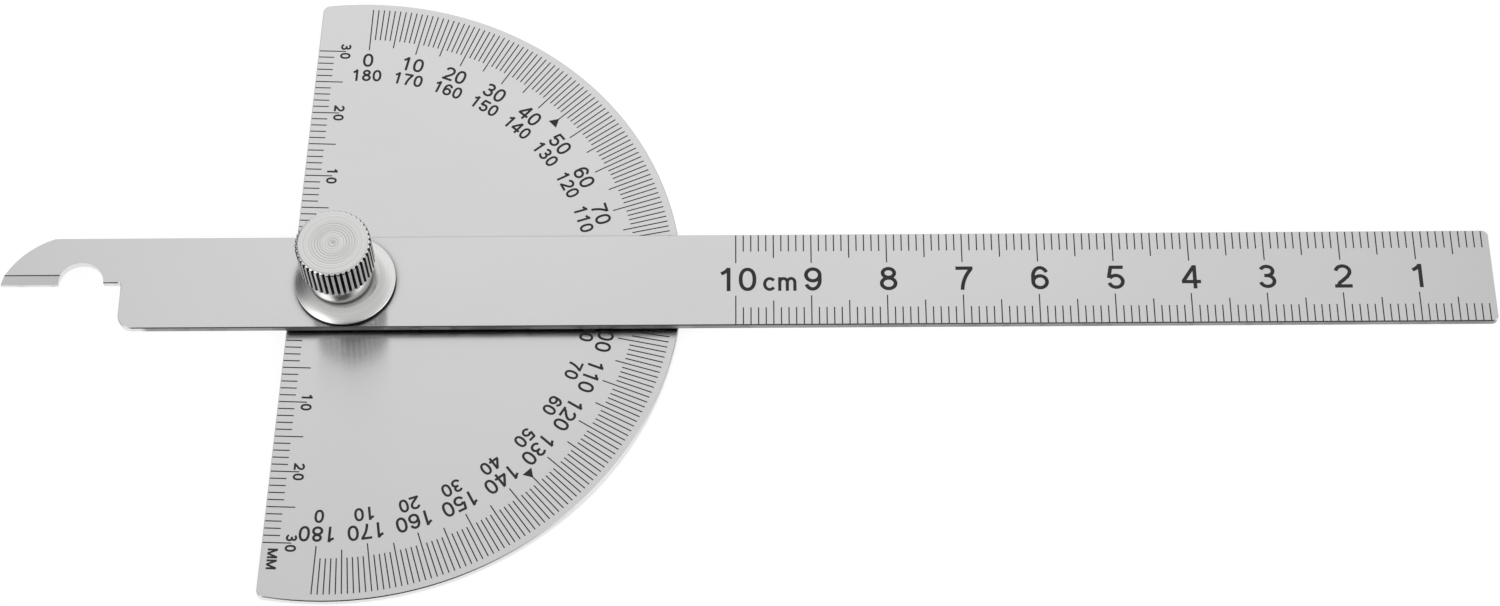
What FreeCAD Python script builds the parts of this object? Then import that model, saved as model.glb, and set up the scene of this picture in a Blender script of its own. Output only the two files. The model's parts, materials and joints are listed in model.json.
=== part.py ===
import FreeCAD, Part

import math
import os

import Sketcher
from FreeCAD import Vector

# Angle finder: a half-round protractor plate with a ruler arm that swings over it.
#
# The arm turns on a shoulder stud that is riveted into the plate. A knurled thumb nut on the
# stud's thread clamps it through a domed washer. All sizes are in millimetres. The origin is on
# the pivot axis at the plate's underside, +X points from the straight edge towards the round
# edge, and +Z points up through the nut. The arm is drawn along its own +X axis from the pivot.

# Name, value and meaning of each driving dimension.
SIZES = (
    ("plate_radius", 45.0, "pivot to the plate's round edge"),
    ("edge_offset", 7.0, "pivot to the straight edge behind it"),
    ("plate_thickness", 1.0, "sheet thickness of the plate"),
    ("plate_corner_radius", 1.0, "corners where the straight edge meets the round one"),
    ("edge_break", 0.12, "chamfer that takes the burr off the stamped outlines"),
    ("rivet_radius", 2.4, "stud's neck through the plate"),
    ("rivet_spread", 0.9, "how far the peened tail spreads past the neck"),
    ("rivet_depth", 0.65, "depth of the countersink that the tail fills"),
    ("collar_radius", 4.5, "stud's collar between plate and arm"),
    ("collar_height", 0.6, "gap that the collar keeps between plate and arm"),
    ("pivot_radius", 2.5, "smooth shank that the arm turns on"),
    ("pivot_clearance", 0.05, "radial play of the arm's hole on the shank"),
    ("clamp_gap", 0.15, "how far the shank stops short of the arm's top face"),
    ("thread_radius", 2.0, "outside of the stud's thread"),
    ("thread_clearance", 0.05, "radial play of the nut's bore on the thread"),
    ("stud_point", 0.4, "chamfer on the stud's free end"),
    ("arm_reach", 152.1, "pivot to the ruler's end, which is its zero"),
    ("arm_width", 13.6, "width of the arm"),
    ("arm_thickness", 1.0, "sheet thickness of the arm"),
    ("arm_reading", 87.95, "angle that the arm is stored at, in degrees of the scale"),
    ("arm_corner_radius", 0.8, "corners of the ruler's end"),
    ("tip_overhang", 0.5, "how far the index tip passes the plate's round edge"),
    ("nose_run", 7.0, "length of the rounded nose, from the tip along the arm"),
    ("nose_radius", 11.2, "curve of the nose"),
    ("notch_from_tip", 10.7, "index tip to the centre of the sighting notch"),
    ("notch_radius", 3.05, "sighting notch"),
    ("step_from_tip", 16.1, "index tip to the step back to full width"),
    ("step_corner_radius", 2.0, "outer corner of the step"),
    ("step_inner_radius", 0.4, "inner corner of the step"),
    ("bevel_width", 1.2, "bevel on the index edge, across the top face"),
    ("bevel_land", 0.5, "thickness left at the foot of the bevel"),
    ("washer_radius", 6.7, "rim of the domed washer"),
    ("washer_thickness", 0.6, "sheet thickness of the washer"),
    ("washer_height", 1.6, "washer's crown above the face it stands on"),
    ("washer_foot", 0.5, "flat ring under the rim"),
    ("crown_radius", 4.65, "flat crown that the nut bears on"),
    ("dome_radius", 6.0, "curve of the dome's side in section"),
    ("washer_play", 0.5, "radial play of the washer on the thread"),
    ("washer_offset", 0.45, "how far the loose washer is clamped off the pivot axis"),
    ("nut_collar_radius", 4.2, "plain collar below the knurled head"),
    ("nut_collar_length", 3.3, "length of that collar"),
    ("head_radius", 4.95, "knurled head over the crests"),
    ("head_length", 5.7, "length of the knurled head"),
    ("head_lower_chamfer", 0.45, "chamfer under the head"),
    ("head_upper_chamfer", 0.3, "chamfer round the top face"),
    ("knurl_count", 40, "grooves round the head"),
    ("knurl_depth", 0.32, "depth of a groove"),
    ("knurl_width", 0.46, "width of a groove at the crests"),
    ("centre_mark", 0.3, "radius and depth of the turning mark in the top face"),
    ("nut_roof", 2.85, "solid metal between the threaded bore and the top face"),
    ("drill_point", 1.2, "height of the conical bottom that the drill leaves in the bore"),
    ("tip_gap", 1.0, "space between the stud's end and the bore's bottom when clamped"),
)

doc = FreeCAD.newDocument("angle_finder")
sheet = doc.addObject("Spreadsheet::Sheet", "sizes")
for row, (alias, value, meaning) in enumerate(SIZES, 1):
    sheet.set(f"A{row}", meaning)
    sheet.set(f"B{row}", str(value))
    sheet.setAlias(f"B{row}", alias)
doc.recompute()


class Length:
    """A size as a number, with the expression that ties the document to the sheet."""

    def __init__(self, value, text):
        self.value = value
        self.text = text

    def __add__(self, other):
        return Length(self.value + other.value, f"({self.text} + {other.text})")

    def __sub__(self, other):
        return Length(self.value - other.value, f"({self.text} - {other.text})")

    def __neg__(self):
        return Length(-self.value, f"(-{self.text})")

    def __truediv__(self, number):
        return Length(self.value / number, f"({self.text} / {number})")


def size(alias):
    return Length(float(sheet.get(alias)), f"sizes.{alias}")


ZERO = Length(0.0, "0")

# Levels of the clamped stack, from the plate's underside up.
plate_top = size("plate_thickness")
arm_bottom = plate_top + size("collar_height")
arm_top = arm_bottom + size("arm_thickness")
nut_seat = arm_top + size("washer_height")

# Sizes that more than one piece shares.
tail_radius = size("rivet_radius") + size("rivet_spread")
bore_radius = size("thread_radius") + size("thread_clearance")
nut_height = size("nut_collar_length") + size("head_length")
bore_depth = nut_height - size("nut_roof")
stud_top = nut_seat + bore_depth - size("tip_gap")


def new_body(label, level=ZERO):
    """A body that stands at a level of the stack on the pivot axis."""
    body = doc.addObject("PartDesign::Body", label)
    body.Label = label
    body.setExpression("Placement.Base.z", level.text)
    return body


def new_sketch(body, role, name, lift=ZERO):
    """A sketch on one of the body's own origin planes, or lifted off it."""
    plane = next(item for item in body.Origin.OriginFeatures if item.Role == role)
    sketch = body.newObject("Sketcher::SketchObject", name)
    sketch.AttachmentSupport = [(plane, "")]
    sketch.MapMode = "FlatFace"
    sketch.setExpression("AttachmentOffset.Base.z", lift.text)
    return sketch


def constrain(sketch, *what, length=None):
    """Add a constraint, tied to the sheet where it has a length."""
    if length is None:
        sketch.addConstraint(Sketcher.Constraint(*what))
        return
    index = sketch.addConstraint(Sketcher.Constraint(*what, length.value))
    sketch.setExpression(f"Constraints[{index}]", length.text)


def locate(sketch, geometry, point, x, y):
    """Place a point of the sketch from the sketch's origin."""
    for kind, axis, length in (("DistanceX", -2, x), ("DistanceY", -1, y)):
        if length is ZERO:
            constrain(sketch, "PointOnObject", geometry, point, axis)
        else:
            constrain(sketch, kind, -1, 1, geometry, point, length=length)


def arc_between(start, end, radius):
    """The arc that bulges to the right of the way from start to end."""
    chord = end - start
    inward = Vector(-chord.y, chord.x, 0).normalize()
    centre = (start + end) / 2 + inward * math.sqrt(radius ** 2 - (chord.Length / 2) ** 2)
    angles = [math.atan2(p.y - centre.y, p.x - centre.x) for p in (start, end)]
    return Part.ArcOfCircle(Part.Circle(centre, Vector(0, 0, 1), radius), *angles)


def draw_profile(sketch, corners, arcs=None):
    """Close a profile anticlockwise through the corners.

    arcs gives the radius of each side that is an arc, by the number of the corner it leaves.
    """
    arcs = arcs or {}
    points = [Vector(x.value, y.value, 0) for x, y in corners]
    count = len(corners)
    for i, start in enumerate(points):
        end = points[(i + 1) % count]
        side = arc_between(start, end, arcs[i].value) if i in arcs else Part.LineSegment(start, end)
        sketch.addGeometry(side)
    for i, (x, y) in enumerate(corners):
        constrain(sketch, "Coincident", i, 1, (i - 1) % count, 2)
        locate(sketch, i, 1, x, y)
    for i, radius in arcs.items():
        constrain(sketch, "Radius", i, length=radius)


def pad(body, sketch, length, name):
    feature = body.newObject("PartDesign::Pad", name)
    feature.Profile = sketch
    feature.setExpression("Length", length.text)
    doc.recompute()
    return feature


def cut_up(body, sketch, name):
    """Cut the sketch's outline right through everything above its plane."""
    feature = body.newObject("PartDesign::Pocket", name)
    feature.Profile = sketch
    feature.Type = "ThroughAll"
    feature.Reversed = True
    doc.recompute()
    return feature


def punch(body, name, x, radius):
    """Punch a round hole through the sheet, on the body's own X axis."""
    sketch = new_sketch(body, "XY_Plane", f"{name}_circle")
    sketch.addGeometry(Part.Circle(Vector(x.value, 0, 0), Vector(0, 0, 1), radius.value))
    locate(sketch, 0, 3, x, ZERO)
    constrain(sketch, "Radius", 0, length=radius)
    return cut_up(body, sketch, name)


def turn(body, sketch, name, kind="PartDesign::Revolution"):
    """Revolve a profile of radius and height about the upright axis of its sketch."""
    feature = body.newObject(kind, name)
    feature.Profile = sketch
    feature.ReferenceAxis = (sketch, ["V_Axis"])
    feature.Angle = 360.0
    doc.recompute()
    return feature


def dress_edges(body, base, kind, name, wanted, *lengths):
    """Fillet or chamfer the edges of the base that the test picks."""
    names = [f"Edge{i}" for i, edge in enumerate(base.Shape.Edges, 1) if wanted(edge)]
    feature = body.newObject(f"PartDesign::{kind}", name)
    feature.Base = (base, names)
    if len(lengths) == 2:
        feature.ChamferType = "Two distances"
        feature.setExpression("Size2", lengths[1].text)
    feature.setExpression("Radius" if kind == "Fillet" else "Size", lengths[0].text)
    doc.recompute()
    return feature


def near(a, b):
    return abs(a - b) < 1e-4


def upright_at(x, y):
    """Picks the upright edge that passes through a point of the plan."""
    def test(edge):
        return all(near(v.X, x.value) and near(v.Y, y.value) for v in edge.Vertexes)
    return test


def rim_at(*levels):
    """Picks the edges that lie flat at one of the levels."""
    def test(edge):
        box = edge.BoundBox
        return near(box.ZMin, box.ZMax) and any(near(box.ZMin, level.value) for level in levels)
    return test


def tail_outline():
    """Half section of the countersunk hole, which the peened tail fills flush."""
    neck = size("rivet_radius")
    return [(ZERO, ZERO), (tail_radius, ZERO), (neck, size("rivet_depth")), (neck, plate_top)]


def make_plate():
    """Half-round sheet with a straight edge set back behind the pivot."""
    body = new_body("protractor_plate")
    radius, offset = size("plate_radius"), size("edge_offset")
    sketch = new_sketch(body, "XY_Plane", "plate_outline")
    half_angle = math.acos(-offset.value / radius.value)
    circle = Part.Circle(Vector(), Vector(0, 0, 1), radius.value)
    arc = Part.ArcOfCircle(circle, -half_angle, half_angle)
    sketch.addGeometry(arc)
    sketch.addGeometry(Part.LineSegment(arc.EndPoint, arc.StartPoint))
    constrain(sketch, "Coincident", 0, 3, -1, 1)
    constrain(sketch, "Coincident", 0, 2, 1, 1)
    constrain(sketch, "Coincident", 1, 2, 0, 1)
    constrain(sketch, "Vertical", 1)
    constrain(sketch, "Radius", 0, length=radius)
    constrain(sketch, "DistanceX", -1, 1, 1, 1, length=-offset)
    blank = pad(body, sketch, plate_top, "plate_blank")

    def corner(edge):
        return edge.BoundBox.ZLength > plate_top.value / 2

    corners = dress_edges(body, blank, "Fillet", "plate_corners", corner, size("plate_corner_radius"))
    dress_edges(body, corners, "Chamfer", "plate_edge_break", rim_at(ZERO, plate_top), size("edge_break"))
    hole = new_sketch(body, "XZ_Plane", "rivet_hole_section")
    draw_profile(hole, tail_outline() + [(ZERO, plate_top)])
    turn(body, hole, "rivet_hole", "PartDesign::Groove")
    return body


def make_stud():
    """Shoulder stud: peened tail, collar, smooth pivot and threaded end, turned in one."""
    body = new_body("pivot_stud")
    collar, pivot, thread = size("collar_radius"), size("pivot_radius"), size("thread_radius")
    shank_top = arm_top - size("clamp_gap")
    point = size("stud_point")
    sketch = new_sketch(body, "XZ_Plane", "stud_section")
    draw_profile(sketch, tail_outline() + [
        (collar, plate_top), (collar, arm_bottom),
        (pivot, arm_bottom), (pivot, shank_top),
        (thread, shank_top), (thread, stud_top - point),
        (thread - point, stud_top), (ZERO, stud_top),
    ])
    turn(body, sketch, "stud_turned")
    return body


def make_arm():
    """Ruler arm with its bevelled index edge on the pivot line at the short end."""
    body = new_body("ruler_arm", arm_bottom)
    body.setExpression("Placement.Rotation.Angle", "90 - sizes.arm_reading")
    end, half = size("arm_reach"), size("arm_width") / 2
    tip = -(size("plate_radius") + size("tip_overhang"))
    step = tip + size("step_from_tip")
    thickness = size("arm_thickness")
    sketch = new_sketch(body, "XY_Plane", "arm_outline")
    corners = [
        (tip, ZERO), (step, ZERO), (step, -half), (end, -half), (end, half),
        (tip + size("nose_run"), half),
    ]
    draw_profile(sketch, corners, {len(corners) - 1: size("nose_radius")})
    shape = pad(body, sketch, thickness, "arm_blank")

    for name, places, radius in (
        ("arm_end_corners", [(end, -half), (end, half)], size("arm_corner_radius")),
        ("step_outer_corner", [(step, -half)], size("step_corner_radius")),
        ("step_inner_corner", [(step, ZERO)], size("step_inner_radius")),
    ):
        tests = [upright_at(*place) for place in places]
        shape = dress_edges(body, shape, "Fillet", name, lambda edge: any(t(edge) for t in tests), radius)

    notch_centre = tip + size("notch_from_tip")
    shape = punch(body, "sighting_notch", notch_centre, size("notch_radius"))

    def index_edge(edge):
        box = edge.BoundBox
        on_line = near(box.YMin, 0) and near(box.YMax, 0) and near(box.ZMin, thickness.value)
        return on_line and box.XMax < notch_centre.value

    foot = thickness - size("bevel_land")
    shape = dress_edges(body, shape, "Chamfer", "index_bevel", index_edge, foot, size("bevel_width"))

    def stamped_edge(edge):
        return rim_at(ZERO, thickness)(edge) and edge.BoundBox.XMin > step.value - 1e-4

    dress_edges(body, shape, "Chamfer", "arm_edge_break", stamped_edge, size("edge_break"))
    punch(body, "pivot_hole", ZERO, size("pivot_radius") + size("pivot_clearance"))
    return body


def make_washer():
    """Domed washer: its rim stands on the arm and its flat crown carries the nut."""
    body = new_body("domed_washer", arm_top)
    body.setExpression("Placement.Base.x", "sizes.washer_offset")
    rim, crown = size("washer_radius"), size("crown_radius")
    hole = size("thread_radius") + size("washer_play")
    thick, high = size("washer_thickness"), size("washer_height")
    dome = size("dome_radius")
    sketch = new_sketch(body, "XZ_Plane", "washer_section")
    corners = [
        (rim, ZERO), (rim, thick), (crown, high), (hole, high), (hole, high - thick),
        (crown, high - thick), (rim - size("washer_foot"), ZERO),
    ]
    draw_profile(sketch, corners, {1: dome})
    turn(body, sketch, "washer_pressed")
    return body


def make_nut():
    """Blind thumb nut: plain collar, then a head with straight grooves all round."""
    body = new_body("thumb_nut", nut_seat)
    collar, collar_end = size("nut_collar_radius"), size("nut_collar_length")
    head, mark = size("head_radius"), size("centre_mark")
    lower, upper = size("head_lower_chamfer"), size("head_upper_chamfer")
    bore_tip = bore_depth + size("drill_point")
    sketch = new_sketch(body, "XZ_Plane", "nut_section")
    draw_profile(sketch, [
        (bore_radius, ZERO), (collar, ZERO), (collar, collar_end),
        (head - lower, collar_end), (head, collar_end + lower),
        (head, nut_height - upper), (head - upper, nut_height),
        (mark, nut_height), (ZERO, nut_height - mark),
        (ZERO, bore_tip), (bore_radius, bore_depth),
    ])
    turn(body, sketch, "nut_turned")

    # The cutter's triangle is as tall outside the head as inside, so its mouth is twice as wide.
    depth, width = size("knurl_depth"), size("knurl_width")
    groove = new_sketch(body, "XY_Plane", "knurl_groove_section", collar_end)
    draw_profile(groove, [(head - depth, ZERO), (head + depth, -width), (head + depth, width)])
    cut = cut_up(body, groove, "knurl_groove")
    knurl = body.newObject("PartDesign::PolarPattern", "knurl")
    knurl.Originals = [cut]
    knurl.Axis = (groove, ["N_Axis"])
    knurl.Angle = 360.0
    knurl.setExpression("Occurrences", "sizes.knurl_count")
    body.Tip = knurl
    doc.recompute()
    return body


def check_document(bodies):
    """Stop before anything is written if a feature failed or a cut removed nothing."""
    for item in doc.Objects:
        if "Invalid" in item.State or "Error" in item.State:
            raise RuntimeError(f"{item.Name} failed: {item.State}")
        base = getattr(item, "BaseFeature", None)
        if base is not None and near(item.Shape.Volume, base.Shape.Volume):
            raise RuntimeError(f"{item.Name} changes nothing")
    for body in bodies:
        if body.Shape.isNull() or not body.Shape.isValid() or len(body.Shape.Solids) != 1:
            raise RuntimeError(f"{body.Label} is not one sound solid")


bodies = [make_plate(), make_stud(), make_arm(), make_washer(), make_nut()]
doc.recompute()
check_document(bodies)

os.makedirs("parts", exist_ok=True)
for body in bodies:
    body.Shape.exportStep(f"parts/{body.Label}.step")
    box = body.Shape.BoundBox
    print(f"{body.Label}: {body.Shape.Volume:.1f} mm3, x {box.XMin:.2f} to {box.XMax:.2f}, "
          f"y {box.YMin:.2f} to {box.YMax:.2f}, z {box.ZMin:.2f} to {box.ZMax:.2f}")
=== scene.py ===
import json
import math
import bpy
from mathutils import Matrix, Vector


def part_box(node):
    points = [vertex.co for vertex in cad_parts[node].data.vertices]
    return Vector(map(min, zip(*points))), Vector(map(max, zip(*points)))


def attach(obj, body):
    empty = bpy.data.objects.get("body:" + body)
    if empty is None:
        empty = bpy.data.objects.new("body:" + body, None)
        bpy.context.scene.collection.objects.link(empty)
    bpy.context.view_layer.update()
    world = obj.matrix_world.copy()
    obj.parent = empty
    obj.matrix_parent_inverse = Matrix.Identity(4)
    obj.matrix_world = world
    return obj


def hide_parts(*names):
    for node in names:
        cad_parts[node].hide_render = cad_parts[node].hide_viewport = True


bl_info = {
    "name": "Angle Finder",
    "version": (1, 0, 0),
    "blender": (4, 5, 0),
    "location": "3D View > Sidebar > Angle Finder",
    "description": "Graduates and finishes a steel angle finder and sets it on a studio floor",
    "category": "Object",
}

import bmesh
import bpy
from bpy.props import FloatProperty, FloatVectorProperty, IntProperty, PointerProperty
from mathutils import Matrix, Vector
from mathutils.geometry import delaunay_2d_cdt

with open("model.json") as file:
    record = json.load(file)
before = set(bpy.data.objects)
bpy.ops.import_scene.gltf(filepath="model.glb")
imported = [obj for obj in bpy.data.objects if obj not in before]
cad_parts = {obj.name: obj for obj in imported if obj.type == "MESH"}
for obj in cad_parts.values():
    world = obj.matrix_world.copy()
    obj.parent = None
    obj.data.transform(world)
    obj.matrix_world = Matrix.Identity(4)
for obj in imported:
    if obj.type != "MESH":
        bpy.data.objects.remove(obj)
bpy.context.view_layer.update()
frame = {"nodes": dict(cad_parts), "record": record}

MM = 0.001
FULL_TURN = 2.0 * math.pi
RELIEF = 0.01 * MM
SAME_PLACE = 0.001 * MM
ON_AXIS = 1e-9
# Reach of the painted shade near other surfaces, on the sheets and on the turned parts
SHEET_CONTACT = 1.5 * MM
TURNED_CONTACT = 1.0 * MM
SHEARED_PAST_STEP = 3 * MM
FLOOR_DROP = 0.02 * MM
# Noise scale per metre: along the brushing, across it and upright
FINE_GRAIN = (24.0, 15000.0, 24.0)
BROAD_GRAIN = (4.0, 3200.0, 4.0)
SHEET_CLOUDS = (35.0, 60.0, 35.0)


# Places read from the frame

def box_of(node):
    """Lowest and highest corner of a construction node."""
    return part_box(node)


def reach(node):
    """Largest distance of a construction node from the pivot axis."""
    return max(vertex.co.xy.length for vertex in frame["nodes"][node].data.vertices)


def mount(name):
    """A mount of the record, by its name."""
    return next(item for item in frame["record"]["mounts"] if item["name"] == name)


PLATE_TOP = box_of("protractor_plate")[1].z
PLATE_EDGE = box_of("protractor_plate")[0].x
PLATE_RADIUS = reach("protractor_plate")
ARM_BOTTOM = box_of("ruler_arm")[0].z
ARM_TOP = box_of("ruler_arm")[1].z
ARM_REACH = Vector(mount("ruler_end")["pos_m"]).xy.length
ARM_DIRECTION = math.atan2(mount("ruler_end")["axis"][1], mount("ruler_end")["axis"][0])
NUT_SEAT = box_of("thumb_nut")[0].z
NUT_TOP = box_of("thumb_nut")[1].z
STUD_TOP = box_of("pivot_stud")[1].z


# Settings

def length(name, description, millimetres):
    """A length setting with its default in millimetres."""
    return FloatProperty(name=name, description=description, default=millimetres * MM,
                         subtype="DISTANCE", unit="LENGTH", precision=5)


def share(name, description, default):
    """A plain number between none and all."""
    return FloatProperty(name=name, description=description, default=default,
                         min=0.0, max=1.0, subtype="FACTOR")


def colour(name, description, red, green, blue):
    """A scene-linear colour setting."""
    return FloatVectorProperty(name=name, description=description, default=(red, green, blue),
                               size=3, min=0.0, max=1.0, subtype="COLOR")


class AngleFinderMarks(bpy.types.PropertyGroup):
    """How the etched lines and numerals are cut."""

    proud: length("Proud", "How far the blackening stands above the steel", 0.01)
    depth: length("Depth", "How far a mark reaches into the steel", 0.03)
    edge_margin: length("Edge margin", "Where lines stop short of a broken edge", 0.13)
    fine_line: length("Fine line", "Width of a degree line", 0.15)
    rule_line: length("Rule line", "Width of a millimetre line", 0.15)


class AngleFinderDegrees(bpy.types.PropertyGroup):
    """Degree scale along the round edge."""

    margin: length("Margin", "Blank rim outside the degree lines", 0.95)
    short_line: length("Single degree", "Length of a one degree line", 4.95)
    middle_line: length("Five degrees", "Length of a five degree line", 6.1)
    long_line: length("Ten degrees", "Length of a ten degree line", 6.65)
    outer_height: length("Outer numerals", "Height of the outer numerals", 2.15)
    outer_stroke: length("Outer stroke", "Stroke of the outer numerals", 0.33)
    outer_radius: length("Outer row", "Pivot to the middle of the outer numerals", 35.75)
    inner_height: length("Inner numerals", "Height of the inner numerals", 1.85)
    inner_stroke: length("Inner stroke", "Stroke of the inner numerals", 0.31)
    inner_radius: length("Inner row", "Pivot to the middle of the inner numerals", 33.27)
    pointer_foot: length("Pointer foot", "Pivot to the base of a pointer", 36.95)
    pointer_tip: length("Pointer tip", "Pivot to the tip of a pointer", 38.2)
    pointer_width: length("Pointer width", "Width of a pointer at its base", 1.5)


class AngleFinderEdgeScale(bpy.types.PropertyGroup):
    """Millimetre scale along the straight edge, which runs both ways from two zeros."""

    zero: length("Zero", "Distance of each zero from the pivot line", 7.1)
    count: IntProperty(name="Millimetres", description="Lines each way from a zero", default=30)
    short_line: length("One millimetre", "Length of a one millimetre line", 2.25)
    long_line: length("Five millimetres", "Length of a five or ten millimetre line", 3.8)
    numeral_inset: length("Numeral inset", "Edge to the foot of the numerals", 3.03)
    numeral_height: length("Numeral height", "Height of the numerals", 1.45)
    stroke: length("Stroke", "Stroke of the numerals and the unit mark", 0.27)
    numeral_spacing: length("Numeral spacing", "One numeral to the next in a pair", 1.45)
    unit_inset: length("Unit inset", "Edge to the foot of the unit mark", 0.9)
    unit_height: length("Unit height", "Height of the unit mark", 1.3)
    unit_place: length("Unit place", "Pivot line to the middle of the unit mark", 39.35)


class AngleFinderArmScale(bpy.types.PropertyGroup):
    """Millimetre scale along both edges of the arm, counted from its end."""

    count: IntProperty(name="Millimetres", description="Lines along the arm", default=100)
    width: length("Arm width", "Width of the arm", 13.6)
    short_line: length("One millimetre", "Length of a one millimetre line", 2.6)
    middle_line: length("Five millimetres", "Length of a five millimetre line", 3.6)
    long_line: length("Ten millimetres", "Length of a ten millimetre line", 4.35)
    numeral_height: length("Numeral height", "Height of the centimetre numerals", 3.5)
    numeral_stroke: length("Numeral stroke", "Stroke of the centimetre numerals", 0.5)
    numeral_shift: length("Numeral shift", "Numerals past their line, towards the end", 0.2)
    unit_height: length("Unit height", "Capital height of the unit mark", 2.85)
    unit_stroke: length("Unit stroke", "Stroke of the unit mark", 0.42)
    unit_offset: length("Unit offset", "Last numeral's line to the start of the unit mark", 3.45)
    bevel: length("Bevel", "Width of the bevel along the index edge", 1.2)
    # The dark line along the bevel is painted shade
    crease: length("Crease", "Width of the dark line along that bevel", 0.13)


class AngleFinderStud(bpy.types.PropertyGroup):
    """Shoulder stud that joins the pieces."""

    tail_radius: length("Tail radius", "Peened tail in the plate's countersink", 3.3)
    tail_depth: length("Tail depth", "Depth of the countersink", 0.65)
    neck_radius: length("Neck radius", "Neck through the plate", 2.4)
    collar_radius: length("Collar radius", "Collar between plate and arm", 4.5)
    shank_radius: length("Shank radius", "Smooth shank that the arm turns on", 2.5)
    shank_gap: length("Shank gap", "Shank's end to the arm's top face", 0.15)
    crest_radius: length("Crest radius", "Outside of the thread", 2.0)
    root_radius: length("Root radius", "Bottom of the thread", 1.6)
    pitch: length("Pitch", "Rise of the thread in one turn", 0.7)


class AngleFinderWasher(bpy.types.PropertyGroup):
    """Domed washer under the nut."""

    thickness: length("Thickness", "Sheet thickness", 0.6)
    hole_radius: length("Hole radius", "Hole over the thread", 2.5)
    crown_radius: length("Crown radius", "Flat crown under the nut", 4.65)
    foot: length("Foot", "Flat ring that stands on the arm", 0.5)
    dome_radius: length("Dome radius", "Curve of the dome's side in section", 6.0)
    edge_radius: length("Edge radius", "Rounding of the pressed edges", 0.12)
    undercut: length("Undercut", "How far the rim draws in towards its foot", 0.22)
    # Height of the painted shade under the rim
    seam: length("Seam", "Height of the dirt under the rim", 0.5)


class AngleFinderNut(bpy.types.PropertyGroup):
    """Knurled thumb nut."""

    collar_radius: length("Collar radius", "Plain collar below the head", 4.2)
    collar_length: length("Collar length", "Length of that collar", 3.3)
    lower_chamfer: length("Lower chamfer", "Chamfer under the head", 0.45)
    upper_chamfer: length("Upper chamfer", "Chamfer round the top face", 0.3)
    grooves: IntProperty(name="Grooves", description="Knurl grooves round the head", default=40)
    groove_depth: length("Groove depth", "Depth of a knurl groove", 0.32)
    groove_width: length("Groove width", "Width of a groove at the crests", 0.46)
    bore_radius: length("Bore radius", "Threaded bore", 2.05)
    bore_depth: length("Bore depth", "Full depth of the bore", 6.15)
    drill_point: length("Drill point", "Cone at the bottom of the bore", 1.2)
    ring_pitch: length("Ring pitch", "Distance between turned rings in the top face", 0.36)
    ring_depth: length("Ring depth", "Depth of the turned rings", 0.022)
    wear: length("Wear", "Rounding of the plated edges", 0.04)


class AngleFinderFinish(bpy.types.PropertyGroup):
    """Colours of the metals and marks, and of painted shade."""

    steel: colour("Steel", "Brushed stainless sheet", 0.77, 0.77, 0.768)
    # Sheared steel, darkened as painted shade on the arm's sides
    cut_steel: colour("Cut steel", "Sheared edges of the arm", 0.3, 0.3, 0.3)
    polished_edge: colour("Polished edge", "Smooth edges of the plate", 0.8, 0.8, 0.8)
    ground_bevel: colour("Ground bevel", "Fresh metal of the index bevel", 0.93, 0.93, 0.93)
    # Painted shade on the sheets where another surface is near
    grime: colour("Grime", "Steel dulled where two pieces meet", 0.045, 0.045, 0.045)
    turned_steel: colour("Turned steel", "Stud", 0.55, 0.55, 0.54)
    nickel: colour("Nickel", "Bright plate on nut and washer", 0.79, 0.785, 0.78)
    # Colour of painted shade: in the knurl's grooves, under the washer's rim and near other
    # surfaces of the turned parts
    groove: colour("Groove", "Plate dulled by dirt in the knurl", 0.03, 0.03, 0.03)
    mark: colour("Mark", "Blackened etching", 0.03, 0.03, 0.03)
    mark_worn: colour("Worn mark", "Blackening that has thinned", 0.045, 0.045, 0.045)


class AngleFinderStage(bpy.types.PropertyGroup):
    """Camera, floor and light."""

    camera_place: FloatVectorProperty(
        name="Camera", description="Place of the camera", size=3, subtype="TRANSLATION",
        unit="LENGTH", default=(0.0622844, -0.1927568, 0.3605889))
    camera_aim: FloatVectorProperty(
        name="Aim", description="Point in the middle of the view", size=3, subtype="TRANSLATION",
        unit="LENGTH", default=(0.051764, -0.000828, 0.0010))
    camera_roll: FloatProperty(
        name="Roll", description="Turn of the camera about its own axis", subtype="ANGLE",
        unit="ROTATION", default=math.radians(-1.286))
    lens: FloatProperty(name="Lens", description="Focal length", default=73.95, unit="CAMERA")
    lens_shift: FloatProperty(
        name="Lens shift", description="Sideways shift of the lens, in picture widths",
        default=0.0114)
    floor_size: FloatProperty(
        name="Floor size", description="Side of the floor", default=8.0, unit="LENGTH")
    floor: colour("Floor", "Pale floor", 0.93, 0.93, 0.93)
    shadow: share("Shadow", "How much of the floor's own light and shadow shows", 0.3)
    horizon: colour("Horizon", "Light from the sides", 0.98, 0.98, 0.98)
    zenith: colour("Zenith", "Light from straight above", 0.65, 0.65, 0.65)
    wall: colour("Wall", "Unlit end of the studio, in front of the object", 0.05, 0.05, 0.05)
    corner: colour("Corner", "Unlit corner at the left", 0.12, 0.12, 0.12)
    sheet: colour("Sheet lamp", "Broad lamp above and behind the object", 0.95, 0.95, 0.95)
    side_sheet: colour("Side sheet", "Glow beside the pale sheet", 0.86, 0.86, 0.86)
    window: FloatProperty(
        name="Window", description="Brightness of the lamps on either side in front",
        default=1.9, min=0.0)


GROUPS = {
    "marks": AngleFinderMarks,
    "degrees": AngleFinderDegrees,
    "edge_scale": AngleFinderEdgeScale,
    "arm_scale": AngleFinderArmScale,
    "stud": AngleFinderStud,
    "washer": AngleFinderWasher,
    "nut": AngleFinderNut,
    "finish": AngleFinderFinish,
    "stage": AngleFinderStage,
}


def settings(context, group):
    """One group of the scene's settings."""
    return getattr(context.scene, f"angle_finder_{group}")


# Materials

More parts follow.
